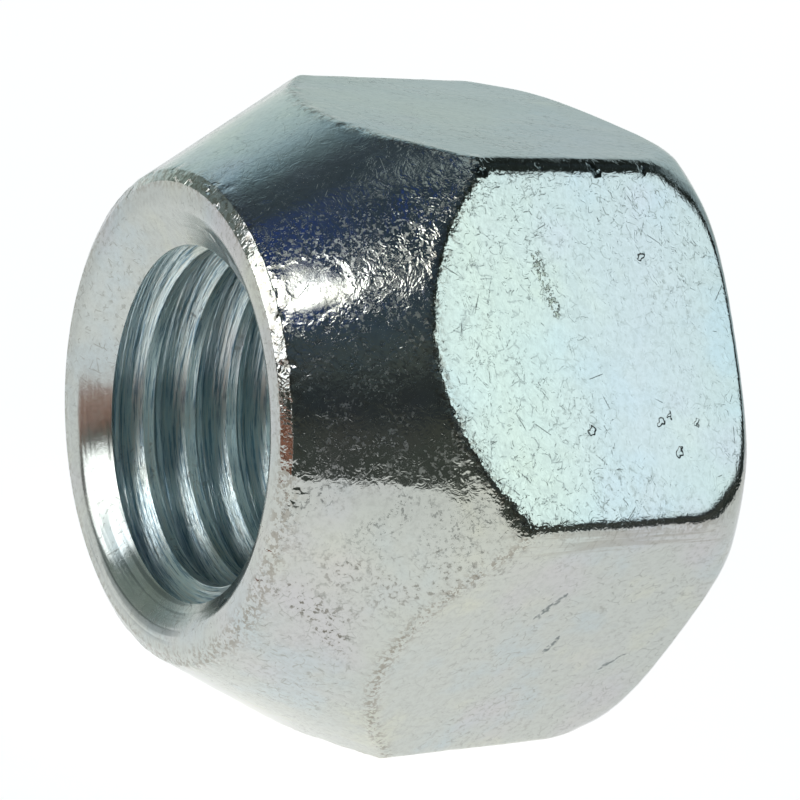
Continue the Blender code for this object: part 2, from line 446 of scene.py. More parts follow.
class Nodes:
    """Adds nodes and links to a tree in few words."""

    def __init__(self, tree):
        self.tree = tree

    def add(self, kind, inputs=None, **settings):
        node = self.tree.nodes.new(kind)
        for key, value in settings.items():
            setattr(node, key, value)
        for key, value in (inputs or {}).items():
            self.put(node.inputs[key], value)
        return node

    def put(self, socket, value):
        if isinstance(value, bpy.types.NodeSocket):
            self.tree.links.new(value, socket)
        else:
            socket.default_value = value

    def math(self, operation, a, b=0.0, c=0.0, clamp=False):
        return self.add("ShaderNodeMath", {0: a, 1: b, 2: c}, operation=operation,
                        use_clamp=clamp).outputs[0]

    def times(self, a, b, clamp=False):
        return self.math('MULTIPLY', a, b, clamp=clamp)

    def most(self, a, b):
        return self.math('MAXIMUM', a, b)

    def vector(self, operation, a, b=(0, 0, 0), c=(0, 0, 0), **more):
        return self.add("ShaderNodeVectorMath", {0: a, 1: b, 2: c, **more},
                        operation=operation).outputs

    def split(self, vector):
        return self.add("ShaderNodeSeparateXYZ", {0: vector}).outputs

    def combine(self, x, y, z=0.0):
        return self.add("ShaderNodeCombineXYZ", {"X": x, "Y": y, "Z": z}).outputs[0]

    def noise(self, vector, scale, detail=2.0, roughness=0.5):
        return self.add("ShaderNodeTexNoise", {
            "Vector": vector, "Scale": scale, "Detail": detail,
            "Roughness": roughness}).outputs["Fac"]

    def ramp(self, value, low, high, to_low=0.0, to_high=1.0):
        return self.add("ShaderNodeMapRange", {
            "Value": value, "From Min": low, "From Max": high, "To Min": to_low,
            "To Max": to_high}, interpolation_type='SMOOTHSTEP').outputs["Result"]

    def mix(self, factor, a, b, blend='MIX'):
        node = self.add("ShaderNodeMix", data_type='RGBA', blend_type=blend)
        self.put(node.inputs[0], factor)
        self.put(node.inputs[6], a)
        self.put(node.inputs[7], b)
        return node.outputs[2]


def new_group(name, inputs, outputs):
    group = bpy.data.node_groups.new(name, "ShaderNodeTree")
    for kind, rows in (('INPUT', inputs), ('OUTPUT', outputs)):
        for label, socket, default in rows:
            made = group.interface.new_socket(name=label, in_out=kind, socket_type=socket)
            if default is not None:
                made.default_value = default
    n = Nodes(group)
    return n, n.add("NodeGroupInput").outputs, n.add("NodeGroupOutput").inputs


def scratch_group():
    """Short straight strokes in random directions: 1 in a stroke, 0 between them."""
    n, source, result = new_group("short_scratches", [
        ("Vector", "NodeSocketVector", None), ("Cells per metre", "NodeSocketFloat", 1500.0),
        ("Width", "NodeSocketFloat", 0.03), ("Length", "NodeSocketFloat", 0.5)],
        [("Stroke", "NodeSocketFloat", None)])
    size = source["Cells per metre"]
    scaled = n.vector('SCALE', source["Vector"], Scale=size)[0]
    cell = n.add("ShaderNodeTexVoronoi", {"Vector": scaled, "Scale": 1.0, "Randomness": 1.0},
                 feature='F1', voronoi_dimensions='3D')
    local = n.vector('SUBTRACT', scaled, cell.outputs["Position"])[0]
    lean = n.vector('SUBTRACT', cell.outputs["Color"], (0.5, 0.5, 0.5))[0]
    lean = n.vector('NORMALIZE', lean)[0]
    across = n.math('ABSOLUTE', n.vector('DOT_PRODUCT', local, lean)["Value"])
    thin = n.ramp(across, 0.0, source["Width"], 1.0, 0.0)
    reach = n.ramp(cell.outputs["Distance"], n.times(source["Length"], 0.6),
                   source["Length"], 1.0, 0.0)
    n.put(result["Stroke"], n.times(thin, reach))
    return n.tree


def lone_mark_group():
    """One mark along a line between two places: 1 on the line, 0 from a width away."""
    n, source, result = new_group("lone_mark", [
        ("Vector", "NodeSocketVector", None), ("From", "NodeSocketVector", None),
        ("To", "NodeSocketVector", None), ("Width", "NodeSocketFloat", 0.0001)],
        [("Mark", "NodeSocketFloat", None)])
    line = n.vector('SUBTRACT', source["To"], source["From"])[0]
    gap = n.vector('SUBTRACT', source["Vector"], source["From"])[0]
    share = n.math('DIVIDE', n.vector('DOT_PRODUCT', gap, line)["Value"],
                   n.vector('DOT_PRODUCT', line, line)["Value"], clamp=True)
    foot = n.vector('SCALE', line, Scale=share)[0]
    away = n.math('DIVIDE', n.vector('DISTANCE', gap, foot)["Value"], source["Width"])
    n.put(result["Mark"], n.math('SUBTRACT', 1.0, away, clamp=True))
    return n.tree


def dents_group():
    """The skin left by tumbling: fine dents as a height, and broken, curved creases."""
    n, source, result = new_group("tumbled_dents", [
        ("Vector", "NodeSocketVector", None), ("Creases", "NodeSocketFloat", 1.0)],
        [("Height", "NodeSocketFloat", None), ("Crease", "NodeSocketFloat", None)])
    place = source["Vector"]
    sway = n.add("ShaderNodeTexNoise", {"Vector": place, "Scale": 1700.0, "Detail": 1.0})
    bent = n.vector('MULTIPLY_ADD', sway.outputs["Color"], (1.1 * MM,) * 3, place)[0]
    fine = n.noise(bent, 5200.0, 2.0, 0.62)
    broad = n.noise(bent, 1900.0, 1.0)
    knocks = n.ramp(n.noise(bent, 3800.0, 2.0, 0.6), 0.56, 0.66)
    nearly = n.vector('MULTIPLY_ADD', sway.outputs["Color"], (0.3 * MM,) * 3, place)[0]
    web = n.add("ShaderNodeTexVoronoi", {"Vector": nearly, "Scale": 2900.0},
                feature='DISTANCE_TO_EDGE').outputs["Distance"]
    crease = n.ramp(web, 0.0, 0.085, 1.0, 0.0)
    broken = n.ramp(n.noise(place, 3600.0, 1.0), 0.52, 0.60)
    crease = n.times(n.times(crease, broken), source["Creases"])
    height = n.math('MULTIPLY_ADD', fine, 0.38, n.times(broad, 0.42))
    height = n.math('SUBTRACT', height, n.times(knocks, 0.11))
    n.put(result["Height"], n.math('SUBTRACT', height, n.times(crease, 0.08)))
    n.put(result["Crease"], crease)
    return n.tree


def plating_group():
    """The plated metal's colour: a clean zinc with faint tinted films and specks of grime."""
    n, source, result = new_group("zinc_plating", [
        ("Vector", "NodeSocketVector", None), ("Zinc", "NodeSocketColor", (0.6, 0.6, 0.6, 1)),
        ("Cool", "NodeSocketColor", (0.5, 0.6, 0.6, 1)),
        ("Warm", "NodeSocketColor", (0.6, 0.6, 0.5, 1)),
        ("Lilac", "NodeSocketColor", (0.6, 0.57, 0.62, 1)),
        ("Dirt", "NodeSocketColor", (0.1, 0.08, 0.06, 1)), ("Grime", "NodeSocketFloat", 0.0),
        ("Warm patch", "NodeSocketFloat", 0.0), ("Lilac patch", "NodeSocketFloat", 0.0)],
        [("Color", "NodeSocketColor", None), ("Dirt mask", "NodeSocketFloat", None)])
    place = source["Vector"]
    film = n.noise(place, 300.0, 3.0, 0.62)
    other = n.noise(place, 210.0, 2.0, 0.6)
    colour = n.mix(n.ramp(film, 0.50, 0.70, 0.0, 0.6), source["Zinc"], source["Cool"])
    colour = n.mix(n.math('ADD', n.ramp(film, 0.47, 0.30, 0.0, 0.6), source["Warm patch"],
                          clamp=True), colour, source["Warm"])
    colour = n.mix(n.math('ADD', n.ramp(other, 0.52, 0.72, 0.0, 0.6), source["Lilac patch"],
                          clamp=True), colour, source["Lilac"])
    specks = n.ramp(n.noise(place, 5200.0, 2.0, 0.65), 0.56, 0.66)
    patches = n.ramp(n.noise(place, 420.0, 1.0), 0.53, 0.63)
    mask = n.times(n.times(specks, patches), source["Grime"], clamp=True)
    n.put(result["Color"], n.mix(mask, colour, source["Dirt"]))
    n.put(result["Dirt mask"], mask)
    return n.tree


def principled(mat):
    mat.use_nodes = True
    n = Nodes(mat.node_tree)
    n.tree.nodes.clear()
    shader = n.add("ShaderNodeBsdfPrincipled")
    n.put(n.add("ShaderNodeOutputMaterial").inputs["Surface"], shader.outputs["BSDF"])
    place = n.add("ShaderNodeTexCoord").outputs["Object"]
    return n, shader, place


def use_group(n, group, inputs):
    return n.add("ShaderNodeGroup", inputs, node_tree=group).outputs


def rgba(colour):
    return (*colour, 1.0)


def tinted(n, finish, plating, place, zinc, grime, **patches):
    """Places the plating group with this nut's colours."""
    return use_group(n, plating, {
        "Vector": place, "Zinc": rgba(zinc), "Cool": rgba(finish.cool_tint),
        "Warm": rgba(finish.warm_tint), "Lilac": rgba(finish.lilac_tint),
        "Dirt": rgba(finish.dirt), "Grime": grime, **patches})


def on_flat(s, turn, along, up):
    """A place on the flat that faces turn degrees above -Y, from millimetres along the axis
    and up the flat."""
    sine, cosine = math.sin(math.radians(turn)), math.cos(math.radians(turn))
    half = s.across_flats / 2
    return (along * MM, up * MM * sine - half * cosine, half + half * sine + up * MM * cosine)


def on_ring(s, turn, along, radius):
    """A place turn degrees above -Y, along the axis from the seat end, radius from it."""
    sine, cosine = math.sin(math.radians(turn)), math.cos(math.radians(turn))
    return (along - s.length / 2, -radius * cosine, s.across_flats / 2 + radius * sine)


def on_cone(s, turn, along):
    """A place on the seat, turn degrees above -Y, from millimetres along the axis."""
    return on_ring(s, turn, along * MM,
                   s.seat_end_diameter / 2 + along * MM * math.tan(s.seat_angle / 2))


def on_mouth(s, turn, depth):
    """A place on the seat end's countersink, turn degrees above -Y, depth millimetres in."""
    return on_ring(s, turn, depth * MM,
                   s.seat_countersink / 2 - depth * MM * math.tan(s.countersink_angle / 2))


def from_axis(n, place):
    """The place measured from the nut's axis, by its parts and as a radius."""
    part = n.split(n.add("ShaderNodeMapping", {
        "Vector": place, "Location": (0, 0, -AXIS_HEIGHT)}).outputs[0])
    radius = n.math('SQRT', n.math('MULTIPLY_ADD', part["Y"], part["Y"],
                                   n.times(part["Z"], part["Z"])))
    return part, radius


def plated_material(s, finish, plating, dents, scratches, lone_mark):
    """The outside: bright zinc, tumbled until it is covered in fine dents and strokes."""
    mat = bpy.data.materials.new("zinc_plate_tumbled")
    n, shader, place = principled(mat)
    edge, rim, tumbled = (n.add("ShaderNodeAttribute", attribute_name=name).outputs["Fac"]
                          for name in ("edge_wear_and_shade", "rim_wear", "tumbled"))

    # A wobble that keeps the lone marks from looking drawn
    sway = 0.22 * MM
    wobble = n.add("ShaderNodeTexNoise", {"Vector": place, "Scale": 6500.0, "Detail": 0.0})
    uneven = n.vector('MULTIPLY_ADD', wobble.outputs["Color"], (sway,) * 3, place)[0]
    uneven = n.vector('SUBTRACT', uneven, (sway / 2,) * 3)[0]

    def between(start, end, width):
        return use_group(n, lone_mark, {"Vector": uneven, "From": start, "To": end,
                                        "Width": width * MM})["Mark"]

    def mark(turn, start, end, width):
        return between(on_flat(s, turn, *start), on_flat(s, turn, *end), width)

    # Large areas that differ: films, the calm foot of the cone and the battered corners
    left_side = mark(30, (-2.0, 3.0), (-1.0, -4.0), 4.0)
    warm = n.most(left_side, mark(90, (-2.5, 4.0), (0.5, 0.5), 5.0))
    warm = n.most(warm, n.times(0.4, between(
        on_cone(s, -6, 1.6), on_cone(s, -12, 3.4), 3.5)))
    lilac = n.most(mark(30, (4.2, 3.0), (3.2, -2.5), 3.6),
                   mark(90, (5.0, -2.5), (3.0, -4.5), 3.4))
    calm = n.most(between(on_cone(s, 46, 0.0), on_cone(s, 46, 1.2), 1.2),
                  between(on_cone(s, -1, 1.0), on_cone(s, 0, 3.6), 1.1))
    calm = n.ramp(calm, 0.0, 0.5)
    battered = n.most(mark(30, (-2.9, -2.4), (-0.7, -5.4), 1.0),
                      between(on_cone(s, 55, 4.6), on_cone(s, 57, 6.0), 1.3))
    battered = n.ramp(battered, 0.0, 0.5)
    grimy = n.times(between(on_cone(s, -20, 0.4), on_cone(s, -28, 2.3), 1.5), 0.9)
    grimy = n.most(grimy, n.times(0.45, between(
        on_cone(s, -9, 1.2), on_cone(s, -11, 4.6), 2.4)))

    skin = tinted(n, finish, plating, place, finish.zinc,
                  n.math('ADD', grimy, 0.12), **{
                      "Warm patch": n.times(warm, 0.8),
                      "Lilac patch": n.times(lilac, 0.45)})
    rough_patch = n.math('MULTIPLY_ADD', left_side, 0.5,
                         n.ramp(n.noise(place, 260.0, 1.0), 0.38, 0.62, 0.4, 1.0))
    rough_patch = n.math('SUBTRACT', rough_patch, n.times(calm, 1.4), clamp=True)
    worn = n.most(rough_patch, n.most(edge, battered))
    skin_dents = use_group(n, dents, {"Vector": place, "Creases": worn})
    stroke = use_group(n, scratches, {"Vector": place, "Cells per metre": 900.0,
                                      "Width": 0.014, "Length": 0.36})["Stroke"]
    stroke = n.times(stroke, n.ramp(n.noise(place, 600.0, 0.0), 0.5, 0.56))
    height = n.times(skin_dents["Height"], n.math('MULTIPLY_ADD', worn, 0.75, 0.25))
    height = n.times(height, n.math('MULTIPLY_ADD', calm, -0.48, 1.0))
    height = n.math('SUBTRACT', height, n.times(stroke, 0.12))
    ragged = n.times(n.noise(place, 3300.0, 2.0, 0.65),
                     n.math('MULTIPLY_ADD', battered, 0.85,
                            n.math('MULTIPLY_ADD', rim, 0.8, edge)))
    height = n.math('MULTIPLY_ADD', ragged, 1.3, height)
    height = n.times(height, tumbled)

    # Turning rings in the mouth of the bore, where the tumbling didn't reach; low in the mouth
    # they also carry streaks of painted shade
    part, radius = from_axis(n, place)
    ring = n.noise(n.combine(radius, n.times(part["Z"], 0.1)), 5200.0, 1.0)
    mouth = n.ramp(tumbled, 0.6, 0.25)
    streaks = n.times(n.ramp(ring, 0.44, 0.60), n.times(mouth, n.ramp(
        between(on_mouth(s, -118, 0.45), on_mouth(s, -80, 0.3), 1.9), 0.0, 0.6)))
    height = n.math('MULTIPLY_ADD', n.times(ring, mouth), 0.40, height)

    # Knocks round the rim
    spread = n.split(uneven)
    cells = n.add("ShaderNodeTexVoronoi", {
        "Scale": 1500.0, "Vector": n.combine(spread["Y"], spread["Z"])},
        feature='F1', voronoi_dimensions='2D')
    picked = n.ramp(n.split(cells.outputs["Color"])["X"], 0.42, 0.46)
    knock = n.times(n.ramp(cells.outputs["Distance"], 0.14, 0.36, 1.0, 0.0),
                    n.times(picked, rim))
    height = n.math('MULTIPLY_ADD', knock, -1.7, height)

    # Lone marks
    rough = n.noise(place, 7500.0, 2.0, 0.7)
    scuff = n.times(n.ramp(mark(30, *SCUFF), 0.1, 0.8), n.ramp(rough, 0.49, 0.58))
    height = n.math('MULTIPLY_ADD', scuff, 0.35, height)
    rings = 0.0
    for along, up, width in RING_PITS:
        pit = mark(30, (along, up), (along + 0.05, up + 0.08), width)
        height = n.math('MULTIPLY_ADD', n.ramp(pit, 0.25, 0.60), -0.8, height)
        # A ring of painted shade round the wall of each pit
        rings = n.math('ADD', rings, n.ramp(n.math('ABSOLUTE', n.math('SUBTRACT', pit, 0.42)),
                                            0.08, 0.24, 1.0, 0.0))
    rings = n.times(rings, n.ramp(rough, 0.40, 0.50))
    nicks = 0.0
    for start, end, width in EDGE_NICKS:
        nicks = n.most(nicks, mark(30, start, end, width))
    height = n.math('MULTIPLY_ADD', nicks, -1.6, height)
    cuts = 0.0
    for start, end, width in SCRATCHES:
        cuts = n.most(cuts, mark(-30, start, end, width))
    cuts = n.times(n.ramp(cuts, 0.15, 0.7), n.ramp(rough, 0.34, 0.48))
    height = n.math('MULTIPLY_ADD', cuts, -0.8, height)
    bump = n.add("ShaderNodeBump", {"Strength": 1.0, "Distance": finish.dent_depth,
                                    "Height": height})

    # Colour: painted shade in the creases and strokes with a random grain, worn plating round
    # the rim and along the edges with painted shade along the edges, and painted shade in the
    # pits, nicks, scratches and mouth streaks
    marks = n.math('MULTIPLY_ADD', stroke, 0.2, n.times(skin_dents["Crease"], 0.6))
    grain = n.ramp(n.noise(place, 5200.0, 2.0, 0.7), 0.38, 0.70, 0.0, 0.24)
    shaded_creases_and_grain = n.math('ADD', marks, grain, clamp=True)
    rubbed_and_shaded = n.times(n.most(edge, rim),
                     n.ramp(n.noise(place, 5600.0, 2.0, 0.72), 0.49, 0.58))
    # Streaks along the edge between the two front flats: painted shade in the worn colour
    drawn = n.vector('MULTIPLY', place, (0.05, 1.0, 1.0))[0]
    drawn = n.times(n.ramp(n.noise(drawn, 5500.0, 2.0), 0.46, 0.62),
                    n.ramp(mark(-30, (-1.2, 5.2), (5.8, 5.2), 0.9), 0.0, 0.7))
    rubbed_and_shaded = n.most(n.times(rubbed_and_shaded, 0.8), n.times(drawn, 0.4))
    base = n.mix(rubbed_and_shaded, n.mix(shaded_creases_and_grain, skin["Color"], CREASE_SHADE_AND_GRAIN), rgba(finish.worn))
    base = n.mix(n.times(scuff, 0.6), base, OLIVE)
    # Painted shade in the pit rings, nicks, scratches and the streaks low in the mouth
    dark = n.math('ADD', rings, n.most(cuts, n.ramp(nicks, 0.1, 0.5)), clamp=True)
    dark = n.most(dark, n.times(streaks, 0.75))
    n.put(shader.inputs["Base Color"], n.mix(n.times(dark, 0.75), base, MARK_SHADE))

    # Roughness, with frosted specks on the cone that thin out below and near its top
    patchy = n.ramp(n.noise(place, 700.0, 1.0), 0.3, 0.7, finish.roughness - 0.02,
                    finish.roughness + 0.05)
    lean = math.tan(s.seat_angle / 2)
    under = n.math('SUBTRACT', n.math('MULTIPLY_ADD', part["X"], lean, s.seat_end_diameter / 2
                                      + s.length / 2 * lean), radius)
    side = n.math('DIVIDE', part["Z"], radius)
    frosted = n.times(n.ramp(rough, 0.52, 0.64),
                      n.ramp(n.noise(place, 900.0, 1.0), 0.34, 0.60))
    frosted = n.times(frosted, n.ramp(under, 0.08 * MM, 0.20 * MM, 1.0, 0.0))
    frosted = n.times(frosted, n.times(n.ramp(side, -0.2, 0.02, 0.3, 1.0),
                                       n.ramp(side, 0.84, 0.97, 1.0, 0.2)))
    n.put(shader.inputs["Metallic"], n.math('SUBTRACT', 1.0, n.math(
        'MULTIPLY_ADD', frosted, 0.35, n.times(skin["Dirt mask"], 0.4))))
    torn = n.math('MULTIPLY_ADD', frosted, 0.34, n.times(marks, 0.2))
    torn = n.math('MULTIPLY_ADD', mouth, 0.09, torn)
    n.put(shader.inputs["Roughness"],
          n.math('ADD', n.math('MULTIPLY_ADD', skin["Dirt mask"], 0.45, patchy), torn))
    n.put(shader.inputs["Normal"], bump.outputs["Normal"])
    return mat


def bore_material(s, finish, plating):
    """The thread: plated over fine lines left by the cutting tool."""
    mat = bpy.data.materials.new("zinc_plate_cut")
    n, shader, place = principled(mat)
    # The bore's paler zinc is painted light
    skin = tinted(n, finish, plating, place, finish.bore_zinc_painted_light, 0.4)
    # Places along the thread's helix and out from the axis, so the marks run round the bore
    part, radius = from_axis(n, place)
    turn = n.math('ARCTAN2', part["Z"], part["Y"])
    along = n.math('SUBTRACT', part["X"], n.times(turn, s.thread_pitch / (2 * math.pi)))
    rings = n.combine(along, radius, n.times(turn, 0.0003))
    lines = n.noise(rings, 11000.0, 3.0, 0.72)
    coarse = n.noise(rings, 4200.0, 1.0)
    pitted = n.noise(place, 4300.0, 2.0, 0.62)
    height = n.math('MULTIPLY_ADD', lines, 1.2, n.times(coarse, 1.7))
    height = n.math('MULTIPLY_ADD', pitted, 0.25, height)
    bump = n.add("ShaderNodeBump", {"Strength": 1.0, "Distance": finish.dent_depth,
                                    "Height": height})
    dark_line = n.ramp(lines, 0.49, 0.38, 0.0, 0.85)
    pale_line = n.ramp(lines, 0.53, 0.64, 0.0, 0.75)
    major = s.thread_diameter / 2
    # Painted shade toward the roots of the thread
    root = n.ramp(radius, major - 0.7 * MM, major - 0.1 * MM, 0.0, 0.30)
    colour = n.mix(root, skin["Color"], ROOT_SHADE)
    colour = n.mix(dark_line, colour, LINE_BLUE)
    n.put(shader.inputs["Base Color"], n.mix(pale_line, colour, LINE_PALE))
    n.put(shader.inputs["Metallic"],
          n.math('SUBTRACT', 1.0, n.times(skin["Dirt mask"], 0.85)))
    n.put(shader.inputs["Roughness"], n.math('MULTIPLY_ADD', skin["Dirt mask"], 0.45,
                                             finish.roughness + 0.20))
    n.put(shader.inputs["Normal"], bump.outputs["Normal"])
    return mat


def threaded_nut(s):
    """The whole nut as one closed mesh, its thread cut by the tap."""
    body, cutter = nut_shell(s), tap(s)
    cut = body.modifiers.new("thread", 'BOOLEAN')
    cut.operation = 'DIFFERENCE'
    cut.solver = 'EXACT'
    cut.object = cutter
    depsgraph = bpy.context.evaluated_depsgraph_get()
    mesh = bpy.data.meshes.new_from_object(body.evaluated_get(depsgraph))
    body.modifiers.clear()
    blank = body.data
    body.data = mesh
    bpy.data.meshes.remove(blank)
    bpy.data.objects.remove(cutter)
    mesh.name = "lug_nut_body"
    mesh.transform(Matrix.Translation((0, 0, s.across_flats / 2)))
    return body


class NUT_OT_body(bpy.types.Operator):
    """Builds the nut's body with its thread and finish, in place of the CAD node"""
    bl_idname = "wheel_nut.body"
    bl_label = "Nut body"
    bl_options = {'REGISTER', 'UNDO'}

    def execute(self, context):
        sizes, finish = context.scene.nut_sizes, context.scene.nut_finish
        body = threaded_nut(sizes)
        mesh = body.data
        if not mesh.polygons:
            raise RuntimeError("the thread cut left nothing of the nut body")
        plating, dents = plating_group(), dents_group()
        mesh.materials.clear()
        mesh.materials.append(plated_material(sizes, finish, plating, dents, scratch_group(),
                                              lone_mark_group()))
        mesh.materials.append(bore_material(sizes, finish, plating))
        axis = sizes.across_flats / 2
        lean = math.tan(sizes.countersink_angle / 2)
        past_root, short_of_cone = 0.05 * MM, 0.015 * MM
        for face in mesh.polygons:
            reach = math.hypot(face.center.y, face.center.z - axis)
            mouth = (sizes.seat_countersink if face.center.x < 0
                     else sizes.outer_countersink) / 2
            cone = sizes.length / 2 - (mouth - reach) / lean     # the countersink's own face
            threaded = (reach < sizes.thread_diameter / 2 + past_root
                        and abs(face.center.x) < cone - short_of_cone)
            face.material_index = 1 if threaded else 0
        mesh.shade_smooth()
        mesh.set_sharp_from_angle(angle=math.radians(38))
        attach(body, "root")
        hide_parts("nut_body")
        return {'FINISHED'}


def glow_material(name, colour, strength):
    mat = bpy.data.materials.new(name)
    mat.use_nodes = True
    mat.cycles.emission_sampling = 'NONE'     # mirror rays find it, and it renders faster
    n = Nodes(mat.node_tree)
    n.tree.nodes.clear()
    glow = n.add("ShaderNodeEmission", {"Color": (*colour, 1.0), "Strength": strength})
    out = n.add("ShaderNodeOutputMaterial")
    n.put(out.inputs["Surface"], glow.outputs[0])
    return mat, n, glow, out


def seen_rays(n):
    """The kinds of ray, and a mask of those that show the studio itself."""
    rays = n.add("ShaderNodeLightPath").outputs
    seen = n.most(rays["Is Camera Ray"],
                  n.most(rays["Is Glossy Ray"], rays["Is Transmission Ray"]))
    return rays, seen


def toward(azimuth, elevation):
    """A direction from the nut: azimuth 0 is +Y and 90 is +X, in degrees."""
    a, e = math.radians(azimuth), math.radians(elevation)
    return Vector((math.sin(a) * math.cos(e), math.cos(a) * math.cos(e), math.sin(e)))


def card(name, azimuth, elevation, distance, wide, high, colour, strength, edge=(0.1, 0.1),
         turn=0.0, slope=0.0, patches=0.0):
    """A glowing rectangle that faces the nut, wide and high in degrees as the nut sees it,
    and turned in its plane. Edge fades its sides, as shares of its width and height, slope
    makes its high-azimuth side brighter, and patches breaks it up. Only reflections show
    it."""
    way = toward(azimuth, elevation)
    bm = bmesh.new()
    bmesh.ops.create_grid(bm, x_segments=1, y_segments=1, size=0.5)
    obj = new_object(name, bm)
    obj.location = Vector((0, 0, AXIS_HEIGHT)) + way * distance
    obj.rotation_euler = (way.to_track_quat('Z', 'Y').to_matrix()
                          @ Matrix.Rotation(math.radians(turn), 3, 'Z')).to_euler()
    obj.scale = (2 * distance * math.tan(math.radians(wide / 2)),
                 2 * distance * math.tan(math.radians(high / 2)), 1.0)
    mat, n, glow, out = glow_material(name, colour, strength)
    place = n.add("ShaderNodeTexCoord").outputs["Object"]
    part = n.split(place)
    fade = None
    for axis, share in zip("XY", edge):
        side = n.ramp(n.math('ABSOLUTE', part[axis]), 0.5 - share, 0.5, 1.0, 0.0)
        fade = side if fade is None else n.times(fade, side)
    if patches:
        fade = n.times(fade, n.ramp(n.noise(place, 11.0, 2.0), 0.44, 0.58,
                                    1.0 - patches, 1.0))
    if slope:
        n.put(glow.inputs["Strength"], n.math('MULTIPLY_ADD', part["X"], -slope * strength,
                                              strength))
    clear = n.add("ShaderNodeBsdfTransparent")
    n.put(out.inputs["Surface"], n.add("ShaderNodeMixShader", {
        0: fade, 1: clear.outputs[0], 2: glow.outputs[0]}).outputs[0])
    obj.data.materials.append(mat)
    obj.visible_camera = False
    obj.visible_diffuse = False
    obj.visible_shadow = False


